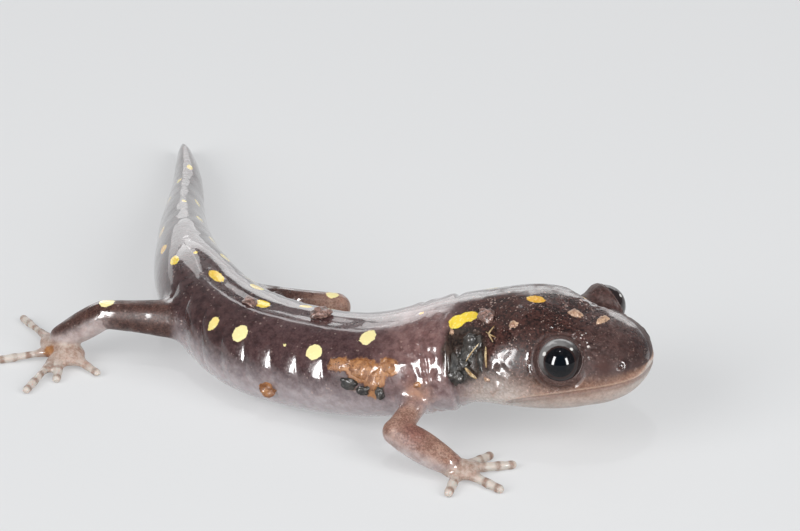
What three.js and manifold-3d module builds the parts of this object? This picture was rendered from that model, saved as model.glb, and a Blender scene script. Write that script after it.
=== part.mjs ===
// A young spotted salamander, Ambystoma maculatum, at life size: 73 mm from snout to tail tip.
// The belly and tail lie on the ground, the head and chest are raised, the right foreleg
// reaches forward, the right hind leg stretches back and the left hind leg is drawn forward.
// Millimetres. +X is the way the chest faces, +Y the animal's left, +Z up, the floor is z = 0.

import * as THREE from 'three';
import { ParametricGeometry } from 'three/addons/geometries/ParametricGeometry.js';
import { mergeVertices } from 'three/addons/utils/BufferGeometryUtils.js';
import Module from 'manifold-3d';

const BODY_LENGTH = 73;      // snout tip to tail tip, along the spine
const SNOUT = [17.2, -5.2];  // plan position of the snout tip, before the model is centred
const SNOUT_ROUND = 3.6;     // the snout rounds off over this length
const SNOUT_BLUNTNESS = 2.3; // by this power, where 2 is a round nose
const TIP_ROUND = 3;         // and the tail tip over this one
const SEAM = 0.3;            // gap between neighbouring pieces
const EYE_SEAM = 0.15;       // gap round an eye in its socket

// Sections across the body. Each has its distance from the snout along the spine, the compass
// heading of the spine in degrees, the height of the spine above the floor, the half width,
// the rise of the back and the depth of the belly from the spine, and the squareness of the
// outline, where 2 is an ellipse.
const [AT, HEADING, HEIGHT, WIDTH, RISE, DEPTH, SQUARENESS] = [0, 1, 2, 3, 4, 5, 6];
const SECTIONS = [
  [0.0, 3, 7.6, 3.6, 2.1, 2.6, 2.2],     // snout
  [2.5, 3, 7.2, 4.4, 3.0, 2.7, 2.2],     // behind the nostrils
  [5.5, 3, 6.6, 5.4, 4.4, 2.8, 2.3],     // eyes
  [9.0, 4, 6.0, 5.8, 5.1, 2.6, 2.3],     // corner of the mouth
  [12.5, 13, 5.4, 5.5, 4.8, 2.2, 2.2],   // back of the head
  [15.5, 23, 4.9, 5.2, 4.5, 3.0, 2.1],   // neck
  [19.0, 19, 4.3, 5.0, 4.0, 3.2, 2.1],   // shoulders
  [24.0, 2, 4.0, 4.4, 3.5, 3.8, 2.1],    // ribs
  [30.0, -10, 3.8, 4.3, 3.4, 4.0, 2.1],  // belly
  [35.0, -30, 4.0, 3.6, 3.4, 4.2, 2.1],  // flank
  [39.5, -44, 4.1, 3.3, 3.5, 4.1, 2.0],  // hips
  [44.0, -54, 3.5, 2.9, 3.6, 3.4, 1.9],  // root of the tail
  [52.0, -59, 2.3, 2.2, 3.2, 2.4, 1.8],
  [61.0, -64, 1.4, 1.5, 2.3, 1.6, 1.7],
  [68.0, -58, 1.0, 1.0, 1.7, 1.2, 1.7],
  [73.0, -55, 0.7, 0.3, 1.0, 0.9, 1.7],  // tail tip
];

// The body is cut across the spine into the lengths that a person would name.
const LENGTHS = [
  { name: 'neck', from: 12.5, to: 17.5, rings: 5 },
  { name: 'chest', from: 17.5, to: 25, rings: 6 },
  { name: 'belly', from: 25, to: 33.5, rings: 7 },
  { name: 'hips', from: 33.5, to: 42, rings: 8 },
  { name: 'tail_base', from: 42, to: 52, rings: 8 },
  { name: 'tail_middle', from: 52, to: 62, rings: 7 },
  { name: 'tail_tip', from: 62, to: BODY_LENGTH, rings: 10 },
];
const AROUND = 24;           // facets round the body
const HEAD_END = 12.5;       // the head ends here, along the spine
const HEAD_RINGS = 17;

// The mouth line bows upward: it is highest, this far under the spine, below the eye.
const MOUTH_TOP = -0.25;
const MOUTH_TOP_AT = 4;
const MOUTH_BOW = 0.022;

const EYE_AT = 5.0;          // distance from the snout along the spine
const EYE_OUT = 4.25;        // sideways from the spine
const EYE_UP = 1.9;          // above the spine
const EYE_RADIUS = 1.65;
const CORNEA_BULGE = 0.06;   // the clear front stands this share of the radius proud
// The two eyes are turned a little apart: degrees forward of straight sideways, and up.
const GAZE = { right: { forward: 32, up: 32 }, left: { forward: 42, up: 15 } };
const LID_RADIUS = 2.05;
const LID_OPENING = 0.35;    // the lids reach this far past the middle of the eye
const NOSTRIL_AT = 1.05;
const NOSTRIL_TURN = 26;     // degrees above the side of the snout
const NOSTRIL_RADIUS = 0.28;

// Legs. A joint is [x, y, z], before the model is centred. Radii run from the upper joint over
// the muscle to the lower joint. A digit is [compass direction in degrees, length from the
// middle of the palm or sole].
const FORELEG = { upper: [1.15, 0.95, 0.95], lower: [1.05, 1.2, 0.95], wrist: 0.95 };
const HIND_LEG = { upper: [1.8, 1.35, 1.1], lower: [1.1, 1.15, 0.95], wrist: 0.95 };
const PALM = { length: 1.5, width: 1.15, thickness: 0.7 };
const SOLE = { length: 2.6, width: 1.35, thickness: 0.8 };
const DIGIT_RADII = [0.5, 0.42, 0.34];
const DIGIT_TIP_HEIGHT = 0.3;
const LEGS = [
  {
    names: ['right_upper_arm', 'right_forearm', 'right_hand'],
    sizes: FORELEG,
    pad: PALM,
    joints: [[1.9, -10.4, 4.5], [1.6, -15.3, 2.9], [5.6, -15.1, 1.25]],
    middle: [6.4, -14.7, 0.65],
    padTurn: 10,
    digits: [[-80, 2.9], [-12, 3.7], [43, 4.1], [74, 3.4]],
  },
  {
    names: ['left_upper_arm', 'left_forearm', 'left_hand'],
    sizes: FORELEG,
    pad: PALM,
    joints: [[-1.5, -5.6, 4.6], [-4.8, -0.8, 3.0], [-2.3, 2.1, 1.3]],
    middle: [-1.5, 3.0, 0.65],
    padTurn: 50,
    digits: [[135, 2.8], [75, 3.8], [35, 4.0], [-5, 3.4]],
  },
  {
    names: ['right_thigh', 'right_shin', 'right_foot'],
    sizes: HIND_LEG,
    pad: SOLE,
    joints: [[-18.9, -8.2, 3.9], [-25.7, -10.6, 4.0], [-29.0, -11.6, 1.7]],
    middle: [-28.8, -11.9, 0.8],
    padTurn: -28,
    digits: [[147, 7.0], [215, 4.9], [273, 6.0], [293, 3.8], [341, 4.0]],
  },
  {
    names: ['left_thigh', 'left_shin', 'left_foot'],
    sizes: HIND_LEG,
    pad: SOLE,
    joints: [[-17.0, -4.8, 4.2], [-10.0, -2.1, 4.2], [-12.0, 0.6, 1.6]],
    middle: [-11.4, 0.9, 0.8],
    padTurn: 50,
    digits: [[-30, 3.6], [5, 4.1], [35, 4.0], [65, 3.4], [110, 2.7]],
  },
];
const LIMB_FACETS = 10;
const DIGIT_FACETS = 7;

const SKIN = { color: 0x3a2224, roughness: 0.25, metalness: 0 };
const THROAT = { color: 0x9a8a92, roughness: 0.3, metalness: 0 };
const LEG_SKIN = { color: 0x7a5c5a, roughness: 0.3, metalness: 0 };
const EYE = { color: 0x0a0a0d, roughness: 0.05, metalness: 0 };

const wasm = await Module();
wasm.setup();

const UP = new THREE.Vector3(0, 0, 1);
const radians = THREE.MathUtils.degToRad;

// The value of one column of SECTIONS at distance s: a smooth curve through the sections that
// never swings past them.
function section(column, s) {
  const last = SECTIONS.length - 1;
  const place = THREE.MathUtils.clamp(s, 0, BODY_LENGTH);
  let i = 0;
  while (i < last - 1 && SECTIONS[i + 1][AT] <= place) i += 1;
  const span = (k) => SECTIONS[k + 1][AT] - SECTIONS[k][AT];
  const slope = (k) => (SECTIONS[k + 1][column] - SECTIONS[k][column]) / span(k);
  const tangent = (k) => {
    if (k === 0) return slope(0);
    if (k === last) return slope(last - 1);
    if (slope(k - 1) * slope(k) <= 0) return 0;
    const mean = (span(k) * slope(k - 1) + span(k - 1) * slope(k)) / (span(k) + span(k - 1));
    const steepest = 3 * Math.min(Math.abs(slope(k - 1)), Math.abs(slope(k)));
    return Math.sign(mean) * Math.min(Math.abs(mean), steepest);
  };
  const h = span(i);
  const t = (place - SECTIONS[i][AT]) / h;
  return (1 + 2 * t) * (1 - t) ** 2 * SECTIONS[i][column]
    + t * (1 - t) ** 2 * h * tangent(i)
    + t * t * (3 - 2 * t) * SECTIONS[i + 1][column]
    + t * t * (t - 1) * h * tangent(i + 1);
}

// The spine in plan: short steps from the snout, each against the heading.
const STEP = 0.1;
const plan = [new THREE.Vector2(...SNOUT)];
for (let s = STEP / 2; s < BODY_LENGTH; s += STEP) {
  const heading = radians(section(HEADING, s));
  const previous = plan[plan.length - 1];
  plan.push(new THREE.Vector2(
    previous.x - STEP * Math.cos(heading),
    previous.y - STEP * Math.sin(heading),
  ));
}

// The point of the spine at distance s, running straight on past either end.
function spine(s) {
  const i = THREE.MathUtils.clamp(Math.floor(s / STEP), 0, plan.length - 2);
  const point = plan[i].clone().lerp(plan[i + 1], s / STEP - i);
  return new THREE.Vector3(point.x, point.y, section(HEIGHT, s));
}

// The directions forward, left and up at distance s along the spine.
function axes(s) {
  const reach = 2 * STEP;
  const forward = spine(s - reach).sub(spine(s + reach)).normalize();
  const left = UP.clone().cross(forward).normalize();
  return { forward, left, up: forward.clone().cross(left) };
}

// A point given by its distance s along the spine and its offsets to the left and up from it.
function beside(s, toLeft, upward) {
  const { left, up } = axes(s);
  return spine(s).addScaledVector(left, toLeft).addScaledVector(up, upward);
}

// How full the body is at s: 1 all along, rounding off to 0 at the snout and the tail tip.
function fullness(s) {
  const front = THREE.MathUtils.clamp(1 - s / SNOUT_ROUND, 0, 1);
  const back = THREE.MathUtils.clamp(1 - (BODY_LENGTH - s) / TIP_ROUND, 0, 1);
  return (1 - front ** SNOUT_BLUNTNESS) ** (1 / SNOUT_BLUNTNESS) * Math.sqrt(1 - back ** 2);
}

// A point of the skin. The turn runs from the right side over the back to the left side and
// round under the belly; the outline is a superellipse. No point is lower than the floor.
function skin(s, turn, grow = 0) {
  const power = 2 / section(SQUARENESS, s);
  const across = -Math.cos(turn);
  const over = Math.sin(turn);
  const full = fullness(s);
  const width = (section(WIDTH, s) + grow) * full;
  const height = (section(over > 0 ? RISE : DEPTH, s) + grow) * full;
  const point = beside(
    s,
    Math.sign(across) * Math.abs(across) ** power * width,
    Math.sign(over) * Math.abs(over) ** power * height,
  );
  point.z = Math.max(point.z, 0);
  return point;
}

// A closed surface through rings of points: place(ring, turn) gives a point of ring 0 to
// rings - 1, and a flat or pointed end closes on the middle of the first and last ring.
function tube(rings, facets, place, middle) {
  const surface = (u, v, target) => {
    const ring = Math.round(v * (rings + 1)) - 1;
    if (ring < 0) target.copy(middle(0));
    else if (ring === rings) target.copy(middle(rings - 1));
    else target.copy(place(ring, (u % 1) * 2 * Math.PI));
  };
  return new ParametricGeometry(surface, facets, rings + 1);
}

// A manifold solid of a closed three.js geometry, without its seams and empty triangles.
function solid(geometry) {
  const bare = geometry.clone();
  bare.deleteAttribute('normal');
  bare.deleteAttribute('uv');
  const merged = mergeVertices(bare, 1e-4);
  const index = merged.index.array;
  const triangles = [];
  for (let i = 0; i < index.length; i += 3) {
    const [a, b, c] = [index[i], index[i + 1], index[i + 2]];
    if (a !== b && b !== c && c !== a) triangles.push(a, b, c);
  }
  return new wasm.Manifold(new wasm.Mesh({
    numProp: 3,
    vertProperties: merged.attributes.position.array,
    triVerts: new Uint32Array(triangles),
  }));
}

function geometryOf(manifold) {
  const mesh = manifold.getMesh();
  const geometry = new THREE.BufferGeometry();
  geometry.setAttribute('position', new THREE.BufferAttribute(mesh.vertProperties, 3));
  geometry.setIndex(new THREE.BufferAttribute(mesh.triVerts, 1));
  geometry.computeVertexNormals();
  return geometry;
}

// The body between two distances along the spine, closed by a flat cut at each end. A snout
// or tail tip comes to its own round end, with rings closer together towards it.
function bodyLength(from, to, rings, grow = 0) {
  const at = (ring) => {
    const t = ring / (rings - 1);
    if (from === 0) return to * (0.002 + 0.998 * t ** 1.7);
    if (to === BODY_LENGTH) return from + (to - from) * (1 - 0.998 * (1 - t) ** 1.7) - 0.002;
    return from + (to - from) * t;
  };
  const place = (ring, turn) => skin(at(ring), turn, grow);
  const middle = (ring) => {
    const point = spine(at(ring));
    point.z = Math.max(point.z, 0.1);
    return point;
  };
  return solid(tube(rings, AROUND, place, middle));
}

// A block below the mouth line, wide enough to cut the whole head: its top is the mouth line,
// lowered by drop.
function underMouth(drop) {
  const rings = 10;
  const reach = 9;
  const at = (ring) => -2 + (HEAD_END + 4) * ring / (rings - 1);
  const lip = (s) => MOUTH_TOP - MOUTH_BOW * (s - MOUTH_TOP_AT) ** 2 - drop;
  const place = (ring, turn) => {
    const s = at(ring);
    const side = Math.cos(turn + Math.PI / 4) > 0 ? -reach : reach;
    return beside(s, side, Math.sin(turn + Math.PI / 4) > 0 ? lip(s) : -reach);
  };
  return solid(tube(rings, 4, place, (ring) => beside(at(ring), 0, -reach / 2)));
}

// side is 1 for the left eye and -1 for the right one.
function eyeMiddle(side) {
  return beside(EYE_AT, side * EYE_OUT, EYE_UP);
}

function gaze(side) {
  const { forward, left, up } = axes(EYE_AT);
  const turned = side < 0 ? GAZE.right : GAZE.left;
  return forward.multiplyScalar(Math.sin(radians(turned.forward)))
    .addScaledVector(left, side * Math.cos(radians(turned.forward)))
    .multiplyScalar(Math.cos(radians(turned.up)))
    .addScaledVector(up, Math.sin(radians(turned.up)));
}

// Turns a shape made round the Y axis to look along the gaze, with its middle in the eye's.
function setInEye(geometry, side) {
  const turn = new THREE.Quaternion().setFromUnitVectors(new THREE.Vector3(0, 1, 0), gaze(side));
  const middle = eyeMiddle(side);
  return geometry.applyQuaternion(turn).translate(middle.x, middle.y, middle.z);
}

// A ball whose front swells into the clear cornea, turned on the lathe.
function eyeball(side, grow = 0) {
  const steps = 10;
  const profile = [];
  for (let i = 0; i <= steps; i += 1) {
    const angle = Math.PI * (i / steps - 0.5);
    const cornea = CORNEA_BULGE * Math.max(0, Math.sin(angle)) ** 4;
    const radius = EYE_RADIUS * (1 + cornea) + grow;
    const across = i === 0 || i === steps ? 0 : Math.cos(angle) * radius;
    profile.push(new THREE.Vector2(across, Math.sin(angle) * radius));
  }
  return solid(setInEye(new THREE.LatheGeometry(profile, 16), side));
}

// The swelling of the lids round an eye, open towards the gaze.
function lids(side) {
  const ball = solid(setInEye(new THREE.SphereGeometry(LID_RADIUS, 16, 10), side));
  const front = new THREE.CylinderGeometry(3, 3, 4, 12).translate(0, 2 + LID_OPENING, 0);
  return ball.subtract(solid(setInEye(front, side)));
}

function nostril(side) {
  const turn = side < 0 ? radians(NOSTRIL_TURN) : Math.PI - radians(NOSTRIL_TURN);
  const mouth = skin(NOSTRIL_AT, turn);
  return solid(new THREE.SphereGeometry(NOSTRIL_RADIUS, 8, 6).translate(mouth.x, mouth.y, mouth.z));
}

// A limb bone's length of flesh: a body of revolution from one joint to the next, round at
// both ends, its radius a parabola through the three radii. No point is lower than the floor.
function flesh(start, end, radii, facets, grow = 0) {
  const from = new THREE.Vector3(...start);
  const way = new THREE.Vector3(...end).sub(from);
  const length = way.length();
  const [first, middle, last] = radii.map((radius) => radius + grow);
  const profile = [new THREE.Vector2(0, -first)];
  profile.push(new THREE.Vector2(first * Math.sin(radians(45)), -first * Math.cos(radians(45))));
  const steps = 3;
  for (let i = 0; i <= steps; i += 1) {
    const t = i / steps;
    const radius = first * (1 - t) * (1 - 2 * t) + 4 * middle * t * (1 - t) + last * t * (2 * t - 1);
    profile.push(new THREE.Vector2(radius, t * length));
  }
  profile.push(new THREE.Vector2(
    last * Math.sin(radians(45)),
    length + last * Math.cos(radians(45)),
  ));
  profile.push(new THREE.Vector2(0, length + last));
  const turn = new THREE.Quaternion().setFromUnitVectors(
    new THREE.Vector3(0, 1, 0),
    way.normalize(),
  );
  const geometry = new THREE.LatheGeometry(profile, facets);
  geometry.applyQuaternion(turn).translate(from.x, from.y, from.z);
  return solid(onFloor(geometry));
}

// Flattens what would reach below the floor.
function onFloor(geometry) {
  const position = geometry.attributes.position;
  for (let i = 0; i < position.count; i += 1) {
    position.setZ(i, Math.max(position.getZ(i), 0));
  }
  return geometry;
}

// A hand or foot: the wrist or ankle, a flattened pad and the digits that fan out from it.
function foot(leg, grow = 0) {
  const { length, width, thickness } = leg.pad;
  const [x, y, z] = leg.middle;
  const pad = new THREE.SphereGeometry(1, 12, 6);
  pad.scale(length + grow, width + grow, thickness + grow);
  pad.rotateZ(radians(leg.padTurn)).translate(x, y, z);
  const wrist = leg.joints[2];
  const radii = [leg.sizes.wrist, leg.sizes.wrist * 0.9, leg.sizes.wrist * 0.7];
  let whole = solid(onFloor(pad)).add(flesh(wrist, leg.middle, radii, LIMB_FACETS, grow));
  for (const [direction, reach] of leg.digits) {
    const tip = [
      x + reach * Math.cos(radians(direction)),
      y + reach * Math.sin(radians(direction)),
      DIGIT_TIP_HEIGHT,
    ];
    whole = whole.add(flesh(leg.middle, tip, DIGIT_RADII, DIGIT_FACETS, grow));
  }
  return whole;
}

const salamander = new THREE.Group();
salamander.name = 'spotted_salamander';

function addPiece(name, manifold, finish) {
  const mesh = new THREE.Mesh(geometryOf(manifold), new THREE.MeshStandardMaterial(finish));
  mesh.name = name;
  salamander.add(mesh);
}

// Head: the skull and upper jaw with the lids, and below the mouth line the lower jaw.
const headEnd = HEAD_END - SEAM / 2;
const wholeHead = bodyLength(0, headEnd, HEAD_RINGS);
let upperHead = wholeHead;
for (const side of [-1, 1]) {
  upperHead = upperHead.add(lids(side)).subtract(eyeball(side, EYE_SEAM)).subtract(nostril(side));
}
addPiece('head', upperHead.subtract(underMouth(-SEAM / 2)), SKIN);
addPiece('lower_jaw', wholeHead.intersect(underMouth(SEAM / 2)), THROAT);
addPiece('right_eye', eyeball(-1), EYE);
addPiece('left_eye', eyeball(1), EYE);

for (const { name, from, to, rings } of LENGTHS) {
  const end = to === BODY_LENGTH ? to : to - SEAM / 2;
  addPiece(name, bodyLength(from + SEAM / 2, end, rings), SKIN);
}

// Legs: each length gives way to the next one, and the upper one to the body.
const bodyAndSeam = bodyLength(10, 46, 30, SEAM);
for (const leg of LEGS) {
  const [root, bend, wrist] = leg.joints;
  const { upper, lower } = leg.sizes;
  const upperLeg = flesh(root, bend, upper, LIMB_FACETS)
    .subtract(flesh(bend, wrist, lower, LIMB_FACETS, SEAM))
    .subtract(bodyAndSeam);
  const lowerLeg = flesh(bend, wrist, lower, LIMB_FACETS).subtract(foot(leg, SEAM));
  addPiece(leg.names[0], upperLeg, LEG_SKIN);
  addPiece(leg.names[1], lowerLeg, LEG_SKIN);
  addPiece(leg.names[2], foot(leg), LEG_SKIN);
}

// The origin is on the floor under the middle of the whole animal's box.
const box = new THREE.Box3().setFromObject(salamander);
const middleOfBox = box.getCenter(new THREE.Vector3());
salamander.position.set(-middleOfBox.x, -middleOfBox.y, -box.min.z);
salamander.updateMatrixWorld(true);

export default salamander;
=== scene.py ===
import bmesh
import bpy
import numpy as np
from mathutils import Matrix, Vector


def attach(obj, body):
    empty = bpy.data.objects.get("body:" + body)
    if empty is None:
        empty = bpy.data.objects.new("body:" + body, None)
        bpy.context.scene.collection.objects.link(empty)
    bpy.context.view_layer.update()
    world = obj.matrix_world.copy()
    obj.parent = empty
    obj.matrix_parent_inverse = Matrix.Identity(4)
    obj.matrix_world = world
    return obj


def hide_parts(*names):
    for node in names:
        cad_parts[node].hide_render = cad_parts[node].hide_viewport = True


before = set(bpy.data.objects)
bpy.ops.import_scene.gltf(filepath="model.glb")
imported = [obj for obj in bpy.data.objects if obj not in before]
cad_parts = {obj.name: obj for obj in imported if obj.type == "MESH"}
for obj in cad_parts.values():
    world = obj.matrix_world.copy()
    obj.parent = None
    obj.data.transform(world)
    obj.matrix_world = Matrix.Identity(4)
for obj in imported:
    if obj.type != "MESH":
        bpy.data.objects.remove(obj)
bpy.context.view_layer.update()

# ---- Trunk, head and tail -------------------------------------------------------------------
# A young spotted salamander, 73 mm long: one smooth muscular body from snout to tail tip, with
# the belly on the ground and the head raised. Its shape is a row of sections across the spine.
# Lengths are millimetres in the animal's own frame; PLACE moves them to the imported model's.
MM = 0.001
PLACE = np.array([10.419, -2.809, 0.0])
BODY_LENGTH = 73.0
SNOUT = (17.2, -5.2)
SNOUT_ROUND = 3.6
SNOUT_BLUNTNESS = 2.3
TIP_ROUND = 3.0
STEP = 0.1
SPARE_STEPS = 10
UP = np.array([0.0, 0.0, 1.0])
AT, HEADING, HEIGHT, WIDTH, RISE, DEPTH, SQUARENESS = range(7)
SECTIONS = np.array([
    [0.0, 3, 7.6, 3.6, 2.1, 2.6, 2.2],  # snout
    [2.5, 3, 7.2, 4.4, 3.0, 2.7, 2.2],
    [5.5, 3, 6.6, 5.4, 4.4, 2.8, 2.3],  # eyes
    [9.0, 4, 6.0, 5.8, 5.1, 2.6, 2.3],
    [12.5, 13, 5.4, 5.5, 4.8, 2.2, 2.2],  # back of the head
    [15.5, 23, 4.9, 5.2, 4.5, 3.0, 2.1],
    [19.0, 19, 4.3, 5.0, 4.0, 3.2, 2.1],  # shoulders
    [24.0, 2, 4.0, 4.4, 3.5, 3.8, 2.1],
    [30.0, -10, 3.8, 4.3, 3.4, 4.0, 2.1],  # belly
    [35.0, -30, 4.0, 3.6, 3.4, 4.2, 2.1],
    [39.5, -44, 4.1, 3.3, 3.5, 4.1, 2.0],  # hips
    [44.0, -54, 3.5, 2.9, 3.6, 3.4, 1.9],
    [52.0, -59, 2.3, 2.2, 3.2, 2.4, 1.8],  # tail
    [61.0, -64, 1.4, 1.5, 2.3, 1.6, 1.7],
    [68.0, -58, 1.0, 1.0, 1.7, 1.2, 1.7],
    [73.0, -55, 0.7, 0.3, 1.0, 0.9, 1.7],  # tail tip
])
SPANS = np.diff(SECTIONS[:, AT])
SLOPES = np.diff(SECTIONS, axis=0) / SPANS[:, None]


def section_tangents():
    """The slope of each column at each section: the mean of the slopes on both sides, each
    weighted by the other's span, at most three times the smaller and 0 at a peak."""
    before, after = SLOPES[:-1], SLOPES[1:]
    total = (SPANS[:-1] + SPANS[1:])[:, None]
    mean = (SPANS[1:, None] * before + SPANS[:-1, None] * after) / total
    steepest = 3 * np.minimum(abs(before), abs(after))
    inner = np.where(before * after > 0, np.sign(mean) * np.minimum(abs(mean), steepest), 0)
    return np.vstack([SLOPES[:1], inner, SLOPES[-1:]])


TANGENTS = section_tangents()


def section(column, s):
    """A column of SECTIONS at distance s: the cubic through the sections on both sides."""
    place = np.clip(s, 0, BODY_LENGTH)
    i = np.clip(np.searchsorted(SECTIONS[:, AT], place, "right") - 1, 0, len(SPANS) - 1)
    h = SPANS[i]
    t = (place - SECTIONS[i, AT]) / h
    return (
        (1 + 2 * t) * (1 - t) ** 2 * SECTIONS[i, column]
        + t * (1 - t) ** 2 * h * TANGENTS[i, column]
        + t * t * (3 - 2 * t) * SECTIONS[i + 1, column]
        + t * t * (t - 1) * h * TANGENTS[i + 1, column]
    )


def spine_track():
    """The spine every STEP: plan steps against the heading, running straight on for SPARE_STEPS
    past each end, each at its section's height."""
    mid = np.arange(STEP / 2 - SPARE_STEPS * STEP, BODY_LENGTH + SPARE_STEPS * STEP, STEP)
    heading = np.radians(section(HEADING, mid))
    steps = -STEP * np.stack([np.cos(heading), np.sin(heading)], -1)
    plan = np.vstack([[0, 0], np.cumsum(steps, axis=0)])
    s = STEP * (np.arange(len(plan)) - SPARE_STEPS)
    return s, np.column_stack([plan - plan[SPARE_STEPS] + SNOUT, section(HEIGHT, s)])


TRACK_S, TRACK = spine_track()


def along(table, s):
    """A table of points or directions, one for each step of the spine, read at distance s."""
    return np.stack([np.interp(s, TRACK_S, table[:, k]) for k in range(3)], -1)


def unit(ways):
    """One direction or a row of them, each divided by its own length."""
    return ways / np.linalg.norm(ways, axis=-1, keepdims=True)


def spine_axes():
    """Forward, left and up at every step: forward runs between the points two steps either
    side, left is level and square to it, and up is square to both."""
    forward = unit(along(TRACK, TRACK_S - 2 * STEP) - along(TRACK, TRACK_S + 2 * STEP))
    left = unit(np.cross(UP, forward))
    return forward, left, np.cross(forward, left)


FORWARD, LEFT, OVER = spine_axes()


def fullness(s):
    """How full the body is: 1 along its length, down to 0 by a blunt round at the snout and a
    circle at the tail tip."""
    front = np.clip(1 - s / SNOUT_ROUND, 0, 1)
    back = np.clip(1 - (BODY_LENGTH - s) / TIP_ROUND, 0, 1)
    return (1 - front**SNOUT_BLUNTNESS) ** (1 / SNOUT_BLUNTNESS) * np.sqrt(1 - back**2)


def skin_point(s, turn, out=0.0):
    """A point of the body's outline at distance s, turned from the right side (0) over the back
    (90) to the left (180) and under the belly (270): a superellipse, out millimetres larger."""
    s, turn = np.broadcast_arrays(np.asarray(s, float), np.radians(np.asarray(turn, float)))
    power = 2 / section(SQUARENESS, s)
    across, over = -np.cos(turn), np.sin(turn)
    width = section(WIDTH, s) * fullness(s) + out
    height = np.where(over > 0, section(RISE, s), section(DEPTH, s)) * fullness(s) + out
    point = (
        along(TRACK, s)
        + along(LEFT, s) * (np.sign(across) * abs(across) ** power * width)[..., None]
        + along(OVER, s) * (np.sign(over) * abs(over) ** power * height)[..., None]
    )
    point[..., 2] = np.maximum(point[..., 2], 0)
    return point


def closed_grid(grid):
    """The vertices and faces of a closed surface: rows run along it and columns round it, and
    each end row closes on its own middle point."""
    rows, columns = grid.shape[:2]
    here = np.arange(rows * columns).reshape(rows, columns)
    right = np.roll(here, -1, axis=1)
    quads = np.stack([here[:-1], right[:-1], right[1:], here[1:]], -1).reshape(-1, 4)
    first, last = rows * columns, rows * columns + 1
    caps = np.vstack([
        np.column_stack([right[0], here[0], np.full(columns, first)]),
        np.column_stack([here[-1], right[-1], np.full(columns, last)]),
    ])
    points = np.vstack([grid.reshape(-1, 3), [grid[0].mean(0)], [grid[-1].mean(0)]])
    return points, quads.tolist() + caps.tolist()


def body_rings():
    """Distances along the spine for the rings: close together at the snout and tail tip."""
    t = np.linspace(0, 1, 60)
    head = 6 * (0.0004 + 0.9996 * t**2)
    tail = BODY_LENGTH - 4 * (0.0004 + 0.9996 * (1 - t[:40] / t[39]) ** 2)
    return np.concatenate([head, np.arange(6.15, BODY_LENGTH - 4.1, 0.2), tail])


flesh_parts = [closed_grid(skin_point(body_rings()[:, None], np.linspace(360, 0, 144, False)))]

# ---- Legs, hands and feet -------------------------------------------------------------------
# Short soft legs: an upper bone, a lower bone and a flat pad with round-tipped digits that have
# knuckles and no claws, four on each hand and five on each foot, all of one skin with the body.
FORELEG = {"upper": (1.15, 0.95, 0.95), "lower": (1.05, 1.2, 0.95), "wrist": 0.95}
HIND_LEG = {"upper": (1.8, 1.35, 1.1), "lower": (1.1, 1.15, 0.95), "wrist": 0.95}
PALM = (1.5, 1.15, 0.7)
SOLE = (2.6, 1.35, 0.8)
DIGIT_RADII = (0.5, 0.42, 0.34)
DIGIT_TIP_HEIGHT = 0.3
KNUCKLE_SPACING = 1.05
LEGS = [  # joints and middle in the animal's frame, turns in degrees, digits as turn and reach
    {  # right foreleg
        "sizes": FORELEG,
        "pad": PALM,
        "joints": [(1.9, -10.4, 4.5), (1.6, -15.3, 2.9), (5.6, -15.1, 1.25)],
        "middle": (6.4, -14.7, 0.65),
        "turn": 10,
        "digits": [(-80, 2.9), (-12, 3.7), (43, 4.1), (74, 3.4)],
    },
    {  # left foreleg
        "sizes": FORELEG,
        "pad": PALM,
        "joints": [(-1.5, -5.6, 4.6), (-4.8, -0.8, 3.0), (-2.3, 2.1, 1.3)],
        "middle": (-1.5, 3.0, 0.65),
        "turn": 50,
        "digits": [(135, 2.8), (75, 3.8), (35, 4.0), (-5, 3.4)],
    },
    {  # right hind leg
        "sizes": HIND_LEG,
        "pad": SOLE,
        "joints": [(-18.9, -8.2, 3.9), (-25.7, -10.6, 4.0), (-29.0, -11.6, 1.7)],
        "middle": (-28.8, -11.9, 0.8),
        "turn": -28,
        "digits": [(147, 7.0), (215, 4.9), (273, 6.0), (293, 3.8), (341, 4.0)],
    },
    {  # left hind leg
        "sizes": HIND_LEG,
        "pad": SOLE,
        "joints": [(-17.0, -4.8, 4.2), (-10.0, -2.1, 4.2), (-12.0, 0.6, 1.6)],
        "middle": (-11.4, 0.9, 0.8),
        "turn": 50,
        "digits": [(-30, 3.6), (5, 4.1), (35, 4.0), (65, 3.4), (110, 2.7)],
    },
]


def limb(start, end, radii, knuckles=0.0, steps=48, facets=28):
    """A length of limb as a body of revolution with round ends: its radius is the parabola
    through the three radii, swelling by knuckles at every KNUCKLE_SPACING from the tip."""
    start, end = np.array(start, float), np.array(end, float)
    length = np.linalg.norm(end - start)
    way = unit(end - start)
    side = unit(np.cross(way, UP))
    first, middle, last = radii
    t = np.linspace(0, 1, steps)
    radius = first * (1 - t) * (1 - 2 * t) + 4 * middle * t * (1 - t) + last * t * (2 * t - 1)
    radius *= 1 + knuckles * np.cos(2 * np.pi * (1 - t) * length / KNUCKLE_SPACING)
    bend = np.radians(np.linspace(2, 88, 9))
    y = np.concatenate([-first * np.cos(bend), t * length, length + radius[-1] * np.sin(bend)])
    r = np.concatenate([first * np.sin(bend), radius, radius[-1] * np.cos(bend)])
    angle = np.linspace(0, 2 * np.pi, facets, False)
    round_way = np.cos(angle)[:, None] * side + np.sin(angle)[:, None] * np.cross(side, way)
    grid = start + y[:, None, None] * way + r[:, None, None] * round_way
    grid[..., 2] = np.maximum(grid[..., 2], 0)
    return closed_grid(grid)


def unit_ball(rows, columns, hole):
    """A ball of radius 1 in rows from the top down, with a hole of that many radians round each
    pole."""
    v = np.linspace(hole, np.pi - hole, rows)[:, None]
    u = np.linspace(0, 2 * np.pi, columns, False)[None]
    return np.stack([np.sin(v) * np.cos(u), np.sin(v) * np.sin(u), np.cos(v) + 0 * u], -1)


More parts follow.
